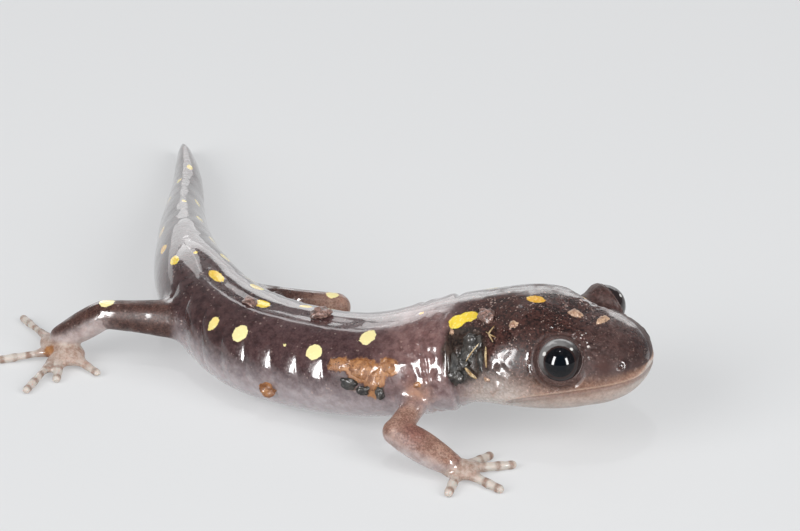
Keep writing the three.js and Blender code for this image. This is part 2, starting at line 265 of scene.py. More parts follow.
def cos_sin(degrees):
    """The cosine and the sine of an angle in degrees."""
    return np.cos(np.radians(degrees)), np.sin(np.radians(degrees))


def pad(middle, sizes, turn):
    """The flat of a hand or foot: a ball stretched to three half sizes, turned in plan."""
    c, s = cos_sin(turn)
    grid = unit_ball(24, 36, 0.03) * sizes @ np.array([[c, s, 0], [-s, c, 0], [0, 0, 1]]) + middle
    grid[..., 2] = np.maximum(grid[..., 2], 0)
    return closed_grid(grid[::-1])


bones = []
digits = []
for leg in LEGS:
    shoulder, elbow, wrist = leg["joints"]
    hub = leg["middle"]
    bones.append((shoulder, elbow, leg["sizes"]["upper"]))
    bones.append((elbow, wrist, leg["sizes"]["lower"]))
    narrow = leg["sizes"]["wrist"]
    bones.append((wrist, hub, (narrow, 0.9 * narrow, 0.7 * narrow)))
    flesh_parts.append(pad(hub, leg["pad"], leg["turn"]))
    for direction, reach in leg["digits"]:
        c, s = cos_sin(direction)
        tip = (hub[0] + reach * c, hub[1] + reach * s, DIGIT_TIP_HEIGHT)
        digits.append((hub, tip, DIGIT_RADII))
flesh_parts += [limb(*bone) for bone in bones]
flesh_parts += [limb(*digit, knuckles=0.07, facets=20) for digit in digits]

# ---- Eyelids --------------------------------------------------------------------------------
# Each eye sits in a thick fold of skin, a low dome on the side of the head that is open
# towards the gaze, with a smooth wet rim that lies close on the eyeball.
EYE_AT = {-1: 5.0, 1: 4.8}
EYE_OUT = 4.25
EYE_UP = {-1: 1.9, 1: 2.15}
EYE_RADIUS = 1.65
GAZE = {-1: (32, 32), 1: (42, 15)}  # degrees forward of straight sideways and up, right eye first
LID_RADIUS = 1.86
LID_EDGE = {-1: 69.0, 1: 61.0}  # degrees off the gaze


def eye_frame(side):
    """An eye's middle, its gaze, and the two directions square to it, up first. side is 1 for
    the left eye and -1 for the right."""
    forward, left, over = (along(table, EYE_AT[side]) for table in (FORWARD, LEFT, OVER))
    middle = along(TRACK, EYE_AT[side]) + side * EYE_OUT * left + EYE_UP[side] * over
    ahead, up = np.radians(GAZE[side])
    level = np.sin(ahead) * forward + side * np.cos(ahead) * left
    gaze = np.cos(up) * level + np.sin(up) * over
    high = unit(over - over @ gaze * gaze)
    return middle, gaze, high, np.cross(gaze, high)


def turned_shape(side, out, across, rounds=64):
    """A surface of revolution about the gaze: out is the distance along it from the eye's
    middle and across the distance from it, row by row."""
    middle, gaze, high, flank = eye_frame(side)
    angle = np.linspace(0, 2 * np.pi, rounds, False)
    ring = np.cos(angle)[:, None] * high + np.sin(angle)[:, None] * flank
    return middle + out[:, None, None] * gaze + across[:, None, None] * ring


for side in (-1, 1):
    bend = np.radians(np.linspace(178, 2, 40))
    dome = turned_shape(side, LID_RADIUS * np.cos(bend), LID_RADIUS * np.sin(bend))
    flesh_parts.append(closed_grid(dome))

# ---- One skin -------------------------------------------------------------------------------
# The real skin is one wet sheet with no seam from lip to toe. All the flesh above is fused
# into one closed mesh, finer over the head, and the joins are drawn into soft fillets.
VOXEL = 0.158
HEAD_MIDDLE = along(TRACK, 6.0)
HEAD_ZOOM = 0.5


def zoom_table():
    """Distances from the middle of the head and what they become: stretched by HEAD_ZOOM out to
    10 mm, and less and less out to 18, so that a mesh of even faces comes back finer there."""
    r = np.linspace(0, 120, 2401)
    t = np.clip((r - 10) / 8, 0, 1)
    slope = 1 + HEAD_ZOOM * (1 - t * t * (3 - 2 * t))
    grown = np.concatenate([[0], np.cumsum((slope[1:] + slope[:-1]) / 2 * np.diff(r))])
    return r, grown


def zoomed(points, known, wanted):
    """Points moved straight out from the middle of the head, from the known distances to the
    wanted ones."""
    way = points - HEAD_MIDDLE
    r = np.linalg.norm(way, axis=1)
    return HEAD_MIDDLE + way * (np.interp(r, known, wanted) / np.maximum(r, 1e-9))[:, None]


def joined(parts):
    """Several closed surfaces as one list of points and one of faces."""
    counts = np.cumsum([0] + [len(points) for points, faces in parts])
    faces = [
        [corner + first for corner in face]
        for first, (_, part) in zip(counts, parts)
        for face in part
    ]
    return np.vstack([points for points, faces in parts]), faces


def fused(parts):
    """The parts as one closed mesh of quads: points, and four corners for each face."""
    near, far = zoom_table()
    points, faces = joined(parts)
    mesh = bpy.data.meshes.new("flesh")
    mesh.from_pydata(zoomed(points, near, far).tolist(), [], faces)
    flesh = bpy.data.objects.new("flesh", mesh)
    bpy.context.scene.collection.objects.link(flesh)
    melt = flesh.modifiers.new("melt", "REMESH")
    melt.mode = "VOXEL"
    melt.voxel_size = VOXEL
    melt.adaptivity = 0
    result = flesh.evaluated_get(bpy.context.evaluated_depsgraph_get()).to_mesh()
    found = np.empty(3 * len(result.vertices))
    result.vertices.foreach_get("co", found)
    corners = np.empty(len(result.loops), np.int32)
    result.loops.foreach_get("vertex_index", corners)
    bpy.data.objects.remove(flesh)
    bpy.data.meshes.remove(mesh)
    return zoomed(found.reshape(-1, 3), far, near), corners.reshape(-1, 4)


points, quads = fused(flesh_parts)
link_from = quads.ravel()
link_to = np.roll(quads, -1, axis=1).ravel()
links = np.bincount(link_from, minlength=len(points))


def mean_of_neighbours(values):
    """The mean of each vertex's neighbours along the mesh's edges."""
    columns = [np.bincount(link_from, v[link_to], len(links)) / links for v in values.T]
    return np.stack(columns, -1)


def smoothed(values, weight, times):
    """Each value moves by its weight towards its neighbours' mean, that many times."""
    weight = np.broadcast_to(weight, len(values))[:, None]
    for _ in range(times):
        values = values + weight * (mean_of_neighbours(values) - values)
    return values


def outward(points):
    """The direction out of the skin at each vertex: the sum of its faces' normals."""
    a, b = points[quads[:, 2]] - points[quads[:, 0]], points[quads[:, 3]] - points[quads[:, 1]]
    face = np.cross(a, b)
    total = np.stack([
        np.bincount(link_from, np.repeat(face[:, k], 4), len(points)) for k in range(3)
    ], -1)
    return total / np.maximum(np.linalg.norm(total, axis=1, keepdims=True), 1e-12)


def step(value, low, high):
    """0 below low, 1 above high and a smooth S between them."""
    t = np.clip((value - low) / (high - low), 0, 1)
    return t * t * (3 - 2 * t)


def hump(value, middle, reach):
    """A smooth bell, 1 at the middle and about a third at the reach."""
    return np.exp(-(((value - middle) / reach) ** 2))


def body_coordinates(points):
    """Where each point lies against the body: s along the spine, left and over from it, the
    turn in degrees, and the gap in millimetres from the body's outline (below 0 inside)."""
    s = np.empty(len(points))
    for block in np.array_split(np.arange(len(points)), 12):
        away = (TRACK**2).sum(1) - 2 * points[block] @ TRACK.T
        s[block] = TRACK_S[away.argmin(1)]
    for _ in range(2):
        s = s + -((points - along(TRACK, s)) * along(FORWARD, s)).sum(1)
        s = np.clip(s, -0.5, BODY_LENGTH)
    way = points - along(TRACK, s)
    left = (way * along(LEFT, s)).sum(1)
    over = (way * along(OVER, s)).sum(1)
    power = section(SQUARENESS, s) / 2
    full = np.maximum(fullness(np.maximum(s, 0.001)), 0.05)
    wide = section(WIDTH, s) * full
    high = np.where(over > 0, section(RISE, s), section(DEPTH, s)) * full
    x, y = abs(left / wide) ** power, abs(over / high) ** power
    turn = np.degrees(np.arctan2(np.sign(over) * y, -np.sign(left) * x))
    gap = ((x**2 + y**2) ** (0.5 / power) - 1) * np.minimum(wide, high)
    return s, left, over, np.where(turn < -90, turn + 360, turn), gap


def limb_gaps(points, pieces):
    """For each point the gap to the nearest of the limb lengths, which one it is, and how far
    the point is from that one's far end, in millimetres."""
    best = np.full(len(points), 99.0)
    which = np.zeros(len(points), int)
    to_tip = np.zeros(len(points))
    for number, (start, end, radii) in enumerate(pieces):
        way = np.subtract(end, start)
        length = np.linalg.norm(way)
        t = np.clip((points - start) @ way / length**2, 0, 1)
        radius = np.interp(t, [0, 0.5, 1], radii)
        gap = np.linalg.norm(points - start - t[:, None] * way, axis=1) - radius
        nearer = gap < best
        best = np.where(nearer, gap, best)
        which = np.where(nearer, number, which)
        beyond = (points - start) @ way / length
        to_tip = np.where(nearer, length + radii[2] - beyond, to_tip)
    return best, which, to_tip


points = smoothed(points, 0.5, 3)
s, left, over, turn, body_gap = body_coordinates(points)
bone_gap, bone, _ = limb_gaps(points, bones)
digit_gap, _, to_tip = limb_gaps(points, digits)
near_root = np.where(points[:, 2] > 1.6, hump(body_gap, 0.1, 0.75), 0)
near_root *= step(-bone_gap, -1.2, -0.5) * step(s, 12, 14)
near_web = step(-digit_gap, -0.4, -0.1) * hump(to_tip, 3.0, 1.2) * step(-points[:, 2], -1.8, -1.2)
points = smoothed(points, 0.5 * np.clip(near_root + 0.5 * near_web, 0, 1), 70)
points = smoothed(points, 0.35 * step(-digit_gap, -0.3, -0.1), 4)

# ---- Folds and grooves of the skin ----------------------------------------------------------
# The skin lies in grooves between the ribs, a fold across the throat and neck, creases round
# the eyes and at the armpits, lips that meet in a fine line, and a furrow down the back.
COSTAL_FIRST = 17.28
COSTAL_SPACING = 2.03
MOUTH_TOP = -0.25
MOUTH_TOP_AT = 4.0
MOUTH_BOW = 0.022
MOUTH_CORNER = 9.0
NOSTRIL_AT = 1.05
NOSTRIL_TURN = 26.0
RIB_SWELL = [  # s, and how far the skin swells between the ribs' grooves there, in mm
    (21, 0.085),
    (23.5, 0.12),
    (26, 0.14),
    (28, 0.16),
    (30, 0.19),
    (33, 0.16),
    (38, 0.1),
]


def waves(points, size, seed):
    """Gentle unevenness from -1 to 1: the mean of sixteen plane waves of about that size in
    millimetres, in directions that the seed draws."""
    draw = np.random.default_rng(seed)
    way = draw.normal(size=(16, 3))
    way *= 2 * np.pi / size * draw.uniform(0.7, 1.4, (16, 1)) / np.linalg.norm(way, axis=1)[:, None]
    return np.sin(points @ way.T + draw.uniform(0, 6.283, 16)).sum(1) / 4


on_body = step(-body_gap, -0.9, -0.3)
side_turn = np.where(turn > 90, 180 - turn, turn)
flank = hump(abs(turn - 90), 80, 32)
mouth_gap = over - (MOUTH_TOP - MOUTH_BOW * (s - MOUTH_TOP_AT) ** 2)


def relief():
    """How far each vertex stands out of the plain flesh, in millimetres: the sum of the folds,
    each a bell or a wave across its own line."""
    # the grooves between the ribs, which run forward as they go down the flank
    trunk = step(s, 16.8, 18.6) * step(-s, -39.5, -37) * on_body
    lean = -0.9 * np.sin(np.radians(turn - 27)) + 0.1 * waves(points, 6, 3)
    ribs = abs(np.cos(np.pi * (s + lean - COSTAL_FIRST) / COSTAL_SPACING - np.pi / 2))
    swell = np.interp(s, *zip(*RIB_SWELL))
    costal = trunk * flank * (swell * ribs**0.9 - 0.04 * hump(ribs, 0, 0.14))
    # the fold across the throat and neck, and a weaker one behind it
    neck = on_body * step(-turn, -84, -52) * step(turn, -80, -45)
    neck += on_body * step(turn, 96, 128) * step(-turn, -260, -225)
    throat = s - 14.45 - 0.25 * np.cos(np.radians(turn)) + 0.1 * waves(points, 5, 5)
    fold = neck * (0.12 * hump(throat, 0.45, 0.45) - 0.26 * hump(throat, 0, 0.2))
    second = s - 16.7 + 0.2 * waves(points, 4, 6)
    fold += neck * (0.07 * hump(second, 0.3, 0.4) - 0.12 * hump(second, 0, 0.18))
    # the furrow down the back, between two low ridges
    furrow_line = left + 0.35 - 0.15 * waves(points, 7, 8)
    furrow = step(s, 20.5, 24) * step(-s, -41, -36) * step(over, 1, 2)
    furrow = furrow * (0.02 * hump(abs(furrow_line), 0.9, 0.35) - 0.07 * hump(furrow_line, 0, 0.5))
    # full cheeks, and hollows beside and on top of the snout
    on_head = step(-s, -12.5, -10) * on_body
    cheek = 0.2 * hump(s, 10.4, 1.6) * hump(side_turn, 14, 20)
    cheek -= 0.1 * hump(s, 12.6, 0.7) * hump(side_turn, 10, 30)
    snout = -0.12 * hump(s, 2.9, 1.1) * hump(side_turn, 46, 13)
    snout -= 0.1 * hump(s, 4.5, 1.8) * hump(side_turn, 90, 14)
    # lips that meet in a fine line
    jaw = on_head * step(-s, -MOUTH_CORNER - 0.6, -MOUTH_CORNER + 0.8)
    lips = 0.03 * hump(mouth_gap, 0.22, 0.16) + 0.02 * hump(mouth_gap, -0.22, 0.16)
    lips = jaw * (lips - 0.1 * hump(mouth_gap, 0, 0.09))
    # small pleats behind the eye and on the side of the neck, and a little roughness all over
    creased = on_head * hump(s, 9.9, 1.7) * hump(side_turn, 10, 17)
    pleats = creased * (0.06 * waves(points, 1.0, 14) - 0.08 * abs(waves(points, 1.7, 15)))
    damp = neck * hump(s, 16.6, 1.6)
    pleats += damp * (0.03 * waves(points, 1.1, 16) - 0.04 * abs(waves(points, 1.9, 17)))
    uneven = 0.012 * waves(points, 2.8, 11) + 0.0025 * waves(points, 0.9, 12)
    return costal + fold + furrow + on_head * (cheek + snout) + lips + pleats + uneven


def away_from(place):
    """Each vertex's distance from a place, in millimetres."""
    return np.linalg.norm(points - place, axis=1)


normals = outward(points)
points = points + normals * relief()[:, None]
for side in (-1, 1):
    pit = skin_point(NOSTRIL_AT, NOSTRIL_TURN if side < 0 else 180 - NOSTRIL_TURN)
    away = away_from(pit)  # a nostril in a low ring
    points = points + normals * (0.06 * hump(away, 0.36, 0.2) - 0.24 * hump(away, 0, 0.14))[:, None]
    middle, gaze, high, flank_way = eye_frame(side)
    way = points - middle
    away = np.linalg.norm(way, axis=1)
    off_gaze = np.degrees(np.arccos(np.clip(way @ gaze / away, -1, 1)))
    open_eye = (off_gaze < 100) & (away < 2.6)
    # a crease under the eye, a hollow over it and fine pleats before it
    crease = 0.035 * hump(away, 2.3, 0.14) - 0.08 * hump(away, 2.08, 0.1)
    crease *= step(off_gaze, 66, 76) * step(-off_gaze, -135, -110) * (0.6 + 0.8 * waves(points, 1.2, 21))
    moat = hump(away, 2.25, 0.4) * step(way @ high / away, 0.2, 0.75) * step(off_gaze, 78, 100)
    crease = crease - (0.36 if side > 0 else 0.12) * moat
    front = hump(away, 2.7, 0.8) * step(way @ (0.5 * high + side * flank_way) / away, 0.1, 0.5)
    crease = crease + 0.02 * front * waves(points, 0.42, 31)
    points = points + normals * crease[:, None]
    # the opening, whose edge is drawn in to lie close on the eyeball
    edge = LID_EDGE[side]
    lid = np.interp(off_gaze, [0, 48, edge - 5, edge, edge + 9], [1.35, 1.4, 1.52, 1.75, 1.86])
    wanted = middle + way / away[:, None] * lid[:, None]
    pull = np.where(open_eye, step(-off_gaze, -edge - 9, -edge - 4), 0)
    points = points + pull[:, None] * (wanted - points)
points = smoothed(points, 0.25, 1)
points[:, 2] = np.maximum(points[:, 2], 0)

# ---- Spots, bands and paler skin -----------------------------------------------------------
# Dark purple-brown skin fades to lavender on the belly, with a loose row of yellow spots down
# each side of the back and tail, see-through legs and dark-banded toes.
SPOTS = [  # s, turn, length along and height round in mm, tilt in degrees, yolk colour 0 to 1
    (7.9, 87, 1.45, 1.0, 0, 0.85),
    (13.95, 67, 1.35, 1.35, 0, 0.5),
    (12.85, 70, 1.5, 1.1, 15, 0.5),
    (20.9, 66, 1.2, 1.5, 10, 0.25),
    (24.2, 41, 1.25, 1.25, 0, 0.15),
    (30.2, 41, 1.2, 1.4, 0, 0.2),
    (32.5, 36, 0.8, 1.3, 0, 0.35),
    (30.6, 88, 1.3, 0.95, 0, 0.6),
    (36.1, 87, 2.0, 0.9, 0, 0.7),
    (33.3, 116, 1.3, 1.2, 0, 0.6),
    (27.4, 108, 1.0, 0.9, 0, 0.6),
    (16.7, 88, 0.5, 0.35, 0, 1.0),
    (26.5, 43, 0.3, 0.3, 0, 0.3),
    (48.8, 40, 1.7, 0.8, 10, 0.8),
    (43.6, 44, 1.4, 0.8, 0, 0.8),
    (40.2, 54, 1.3, 0.8, 0, 0.5),
    (57.1, 45, 1.3, 0.7, 0, 0.6),
    (39.8, 84, 0.5, 0.4, 0, 0.6),
    (53.4, 94, 0.8, 0.4, 0, 0.5),
    (64.0, 104, 1.3, 0.5, 0, 0.5),
    (12.2, 118, 1.5, 1.1, 0, 0.5),
    (5.0, 112, 0.7, 0.6, 0, 0.8),
    (18.6, 124, 1.3, 1.4, 0, 0.3),
    (22.9, 138, 1.3, 1.2, 0, 0.2),
    (26.4, 131, 1.0, 1.3, 0, 0.3),
    (30.0, 143, 1.4, 1.3, 0, 0.2),
    (35.8, 136, 1.1, 1.3, 0, 0.3),
    (39.6, 128, 1.3, 1.0, 0, 0.4),
    (44.3, 133, 1.4, 0.9, 0, 0.6),
    (49.6, 124, 1.2, 0.8, 0, 0.6),
    (55.6, 131, 1.3, 0.7, 0, 0.6),
    (60.8, 66, 0.9, 0.5, 0, 0.6),
]
LEG_SPOTS = [  # middle in the animal's frame, size and yolk colour
    ((-25.5, -10.5, 5.0), 0.6, 0.15),
    ((-10.3, -2.2, 5.2), 0.5, 0.1),
    ((-3.9, -1.6, 4.0), 0.45, 0.3),
]
CLAY_ON_TOE = (-29.3, -12.9, 0.9)
CLAY_STAINS = [  # s, turn, length along and height round in mm, tilt in degrees
    (22.35, 32, 2.1, 1.15, -8),
    (20.95, 29, 2.6, 2.1, 0),
    (19.15, 33, 1.7, 1.5, 10),
    (20.1, 17, 1.7, 2.6, 12),
    (21.5, 9, 0.7, 0.5, 0),
]

# Places where the skin differs, each with its reach in millimetres: those on the legs are in
# the animal's frame, the others are s and turn on the body.
WET_LEGS = [
    ((-25.9, -11.2, 4.6), 0.9),
    ((3.6, -16.1, 1.9), 0.9),
    ((5.6, -15.7, 1.0), 0.9),
    ((-13.6, -3.9, 4.8), 0.9),
    ((-11.6, -3.3, 4.8), 0.9),
]
DRY_ELBOW = [((1.9, -16.2, 2.9), 1.0)]
FLUSHED = [((3.1, -15.5, 3.1), 1.2), ((0.9, -14.2, 3.2), 0.8), ((6.6, -15.0, 1.2), 0.7)]
RUSTY = [((1.8, -12.0, 4.6), 1.5), ((2.4, -10.4, 3.4), 1.3)]
WET_NOSTRIL = [(NOSTRIL_AT, NOSTRIL_TURN, 0.5)]
DULL = [(2.1, 23, 0.75), (22.05, 21, 0.9), (20.9, 16.5, 0.9), (19.2, 18, 0.9)]
# Places for white dots painted as highlights, as glints on droplets.
PAINTED_GLINTS = [(3.6, 55, 0.8)]
FAINT_PAINTED_GLINTS = [(3.2, 37, 0.6)]
RUDDY_AT = (2.0, 24)
NEAR_THIGH, NEAR_SHIN, FAR_HIND_LEG = 6, 7, 9  # bones, three to a leg in the order of LEGS
PALE_FROM = [  # s, and the turn at which the dark of the back gives way to the pale belly
    (0, -12),
    (3, -14),
    (6, -4),
    (9, 15),
    (12, 13),
    (14, 6),
    (18, 6),
    (22, 8),
    (38, 4),
    (45, -10),
    (60, -25),
]


def inside_patch(at, round_at, long, tall, tilt=0.0):
    """How far each vertex lies inside an oval on the skin's own plane, in millimetres, below 0
    outside: the oval's middle, its length along and height round the body, and its tilt."""
    middle, ahead, above = skin_point([at, at + 0.1, at], [round_at, round_at, round_at + 2])
    u, v = unit(ahead - middle), unit(above - middle)
    c, q = cos_sin(tilt)
    x, y = (points - middle) @ (c * u + q * v), (points - middle) @ (c * v - q * u)
    reach = np.sqrt((2 * x / long) ** 2 + (2 * y / tall) ** 2)
    close = away_from(middle) < max(3, long, tall)
    return np.where(close, (1 - reach) * min(long, tall) / 2, -9)


def spot_fields():
    """For each vertex, how far it lies inside the nearest spot's edge in millimetres (below 0
    outside) and that spot's yolk colour."""
    edge = np.full(len(points), -9.0)
    yolk = np.zeros(len(points))
    for at, round_at, long, tall, tilt, colour in SPOTS:
        inside = inside_patch(at, round_at, long, tall, tilt)
        yolk = np.where(inside > edge, colour, yolk)
        edge = np.maximum(edge, inside)
    for middle, size, colour in LEG_SPOTS:
        inside = size - away_from(middle)
        yolk = np.where(inside > edge, colour, yolk)
        edge = np.maximum(edge, inside)
    return edge, yolk


def bells(places):
    """The highest of some smooth bells at each vertex, each 1 at its place and about a third at
    its reach."""
    return np.max([hump(away_from(place), 0, reach) for place, reach in places], axis=0)


def on_skin(marks):
    """Marks given by s, turn and reach, as places with their reach."""
    return [(skin_point(at, round_at), reach) for at, round_at, reach in marks]


# What is leg, palm or sole, and digit, and where the digits' bands lie.
spot_edge, spot_yolk = spot_fields()
normals = outward(points)
limb_share = step(body_gap, 0.05, 0.9) * step(-np.minimum(bone_gap, digit_gap), -1.2, -0.6)
limb_share *= np.maximum(step(s, 11, 12), step(-points[:, 2], -4.5, -3.5))
pads = np.zeros(len(points))
for leg in LEGS:
    c, q = cos_sin(leg["turn"])
    way = points - leg["middle"]
    flat = np.column_stack([c * way[:, 0] + q * way[:, 1], c * way[:, 1] - q * way[:, 0], way[:, 2]])
    pads = np.maximum(pads, step(-np.linalg.norm(flat / leg["pad"], axis=1), -1.55, -1.0))
digit_share = limb_share * step(bone_gap - digit_gap, -0.1, 0.25) * step(-points[:, 2], -1.7, -1.2)
band = 0.5 + 0.5 * np.cos(2 * np.pi * (to_tip - 0.5) / KNUCKLE_SPACING)

# The belly's edge, the stains, and the undersides of the legs, weaker on the far hind leg and
# close to the body on the near thigh.
pale = step(np.interp(s, *zip(*PALE_FROM)) - side_turn, -26, 44)
mould_stain = np.maximum(inside_patch(13.1, 34, 3.6, 4.4, 20), inside_patch(14.0, 48, 1.8, 2.8))
clay_stain = 0.65 - away_from(CLAY_ON_TOE)
for patch in CLAY_STAINS:
    clay_stain = np.maximum(clay_stain, inside_patch(*patch))
under = step(-normals[:, 2], -0.75, 0.35) * np.where(bone >= FAR_HIND_LEG, 0.35, 1.0)
under = under * np.where(bone == NEAR_THIGH, step(body_gap, 3.0, 7.0), 1.0)
under = under + 0.35 * np.isin(bone, (NEAR_THIGH, NEAR_SHIN)) * step(body_gap, 7.0, 10.0)
mouth_line = np.where(s < MOUTH_CORNER + 0.4, mouth_gap, 9.0)

# The lids, and where water stands or the skin is dull.
lids = np.maximum(*[step(-away_from(eye_frame(side)[0]), -2.35, -2.0) for side in (-1, 1)])
middle, gaze, high, flank_way = eye_frame(-1)
way = points - middle
away = away_from(middle)
below_eye = hump(away, 2.3, 0.2) * step(way @ (flank_way - 0.8 * high) / away, 0.2, 0.6)
before_eye = 0.6 * hump(away, 2.6, 0.8) * step(way @ (0.4 * high - flank_way) / away, 0.2, 0.6)
wet = np.max([bells(WET_LEGS), bells(on_skin(WET_NOSTRIL)), below_eye, before_eye], axis=0)
wet = wet - bells(DRY_ELBOW)
for mark in on_skin(DULL):
    wet = wet - 1.5 * bells([mark])
dry = step(s, 7.8, 9.5) * step(-s, -17, -12.5) * step(turn, 48, 62) * step(-turn, -96, -86)
attributes = {
    "lids": lids,
    "dry": dry,
    "wet": wet,
    "apart": step(body_gap, 0.5, 5.0),
    "flush": bells(FLUSHED),
    "painted_glint_dots": np.maximum(bells(on_skin(PAINTED_GLINTS)), 0.6 * bells(on_skin(FAINT_PAINTED_GLINTS))),
    "ruddy": hump(away_from(skin_point(*RUDDY_AT)), 0.1, 0.8),
    "rust": bells(RUSTY),
    "along": s,
    "side_turn": side_turn,
    "pale": pale,
    "under": under,
    "limb": limb_share,
    "digit": digit_share,
    "pads": pads * limb_share,
    "band": 0.8 * band * step(-to_tip, -3.4, -2.6) + 0.72 * step(to_tip, 2.6, 3.4),
    "spot_edge": spot_edge,
    "spot_yolk": spot_yolk,
    "mould_stain": mould_stain,
    "clay_stain": clay_stain,
    "mouth_line": np.clip(mouth_line, -9, 9),
}

# The rim of each lid, a smooth cord of the same skin laid on the edge of the opening.
RIM_REACH = 1.72
RIM_THICKNESS = 0.06
RIM_GRID = (16, 96)
rim_parts = []
for side in (-1, 1):
    turn_round = np.radians(np.linspace(0, 360, RIM_GRID[0], False))
    edge = np.radians(LID_EDGE[side])
    out = RIM_REACH * np.cos(edge) + RIM_THICKNESS * np.cos(turn_round)
    across = RIM_REACH * np.sin(edge) + RIM_THICKNESS * np.sin(turn_round)
    rim_parts.append(turned_shape(side, out, across, RIM_GRID[1]))


def rim_faces(rows, columns, first):
    """The faces of a ring of skin, closed both ways."""
    here = np.arange(rows * columns).reshape(rows, columns)
    right, below = np.roll(here, -1, axis=1), np.roll(here, -1, axis=0)
    return np.stack([here, right, np.roll(right, -1, axis=0), below], -1).reshape(-1, 4) + first


rim_points = [rim.reshape(-1, 3) for rim in rim_parts]
rim_quads = [rim_faces(*RIM_GRID, len(points) + k * np.prod(RIM_GRID)) for k in range(2)]
skin_points = np.vstack([points] + rim_points)
skin_quads = np.vstack([quads] + rim_quads)
rim_values = {"along": EYE_AT[-1], "side_turn": 35, "mouth_line": 9}
rim_values |= {"spot_edge": -9, "mould_stain": -9, "clay_stain": -9}


def finished(name, points, faces, attributes):
    """A smooth-shaded object at the origin from points in the animal's frame, with one float
    attribute for each named array."""
    mesh = bpy.data.meshes.new(name)
    mesh.from_pydata(((points + PLACE) * MM).tolist(), [], faces)
    mesh.polygons.foreach_set("use_smooth", np.ones(len(mesh.polygons), bool))
    for key, values in attributes.items():
        layer = mesh.attributes.new(key, "FLOAT", "POINT")
        layer.data.foreach_set("value", np.asarray(values, np.float32))
    mesh.update()
    shown = bpy.data.objects.new(name, mesh)
    bpy.context.scene.collection.objects.link(shown)
    return shown


def face_outwards(shown):
    """Turns every face of a closed mesh to point out of it."""
    mesh = bmesh.new()
    mesh.from_mesh(shown.data)
    bmesh.ops.recalc_face_normals(mesh, faces=mesh.faces)
    mesh.to_mesh(shown.data)
    mesh.free()


rim_count = sum(len(rim) for rim in rim_points)
attributes = {
    key: np.concatenate([values, np.full(rim_count, rim_values.get(key, 0.0))])
    for key, values in attributes.items()
}
attributes["rim"] = np.concatenate([np.zeros(len(points)), np.ones(rim_count)])
skin = finished("salamander_skin", skin_points, skin_quads.tolist(), attributes)
face_outwards(skin)


class Wire:
    """One socket of a material's nodes. Sums and products of wires add Math nodes."""

    def __init__(self, tree, socket):
        self.tree, self.socket = tree, socket

    def node(self, kind, settings=(), inputs=(), output=0):
        """A new node: its settings, then its inputs by name or number, and one output."""
        made = self.tree.nodes.new(kind)
        for key, value in dict(settings).items():
            setattr(made, key, value)
        for key, value in dict(inputs).items():
            if isinstance(value, Wire):
                self.tree.links.new(value.socket, made.inputs[key])
            else:
                made.inputs[key].default_value = value
        return Wire(self.tree, made.outputs[output])

    def math(self, operation, *values):
        return self.node("ShaderNodeMath", {"operation": operation}, enumerate(values))

    def __add__(self, other):
        return self.math("ADD", self, other)

    def __radd__(self, other):
        return self.math("ADD", other, self)

    def __sub__(self, other):
        return self.math("SUBTRACT", self, other)

    def __rsub__(self, other):
        return self.math("SUBTRACT", other, self)

    def __mul__(self, other):
        return self.math("MULTIPLY", self, other)

    def __rmul__(self, other):
        return self.math("MULTIPLY", other, self)

    def most(self, other):
        """The greater of this and another."""
        return self.math("MAXIMUM", self, other)

    def rise(self, low, high):
        """0 below low, 1 above high, and a smooth S between."""
        limits = {"Value": self, "From Min": low, "From Max": high}
        return self.node("ShaderNodeMapRange", {"interpolation_type": "SMOOTHSTEP"}, limits)

    def mix(self, first, second):
        """The first colour where this is 0, the second where it is 1."""
        return self.node("ShaderNodeMix", {"data_type": "RGBA"}, {0: self, 6: first, 7: second}, 2)

    def shade(self, low, high, tones):
        """The first of two tones where this is below low, the second where it is above high."""
        return self.rise(low, high).mix(paint(*tones[0]), paint(*tones[1]))

    def lay(self, under, tone):
        """A tone laid over the colour under it, hiding it where this is 1."""
        return self.mix(under, paint(*tone))

    def read(self, name):
        """A float attribute of the mesh."""
        return self.node("ShaderNodeAttribute", {"attribute_name": name}, (), 2)

    def grain(self, size, detail=2.0, roughness=0.5):
        """Noise from 0 to 1, its features about size millimetres across."""
        place = self.node("ShaderNodeTexCoord", (), (), 3)
        values = {"Vector": place, "Scale": 1 / (size * MM), "Detail": detail, "Roughness": roughness}
        return self.node("ShaderNodeTexNoise", (), values)

    def cells(self, size):
        """How far from the middle of the nearest of many small cells, each about size
        millimetres across."""
        place = self.node("ShaderNodeTexCoord", (), (), 3)
        return self.node("ShaderNodeTexVoronoi", (), {"Vector": place, "Scale": 1 / (size * MM)})

    def bump(self, strength, depth):
        """The unevenness of a surface whose height this is, with its depth in metres."""
        values = {"Strength": strength, "Distance": depth, "Height": self}
        return self.node("ShaderNodeBump", (), values)


def paint(red, green, blue):
    """A display colour from 0 to 255 as the linear colour that a shader takes."""
    value = np.array([red, green, blue]) / 255
    linear = np.where(value < 0.04045, value / 12.92, ((value + 0.055) / 1.055) ** 2.4)
    return (*linear.tolist(), 1.0)


def new_material(name, **constants):
    """A material with one Principled shader, its all-over numbers set, and a wire to start
    expressions from."""
    material = bpy.data.materials.new(name)
    material.use_nodes = True
    shader = material.node_tree.nodes["Principled BSDF"]
    for key, value in constants.items():
        shader.inputs[key.replace("_", " ")].default_value = value
    return material, shader, Wire(material.node_tree, shader.outputs[0])


def feed(shader, wire, name):
    """Joins a wire to one of the shader's inputs."""
    wire.tree.links.new(wire.socket, shader.inputs[name])


skin_material, skin_shader, wire = new_material(
    "salamander_wet_skin",
    Subsurface_Weight=0.22,
    Subsurface_Radius=(1.0, 0.45, 0.35),
    Subsurface_Scale=0.00045,
    IOR=1.42,
    Specular_IOR_Level=0.3,
    Coat_Roughness=0.04,
    Coat_IOR=1.42,
)

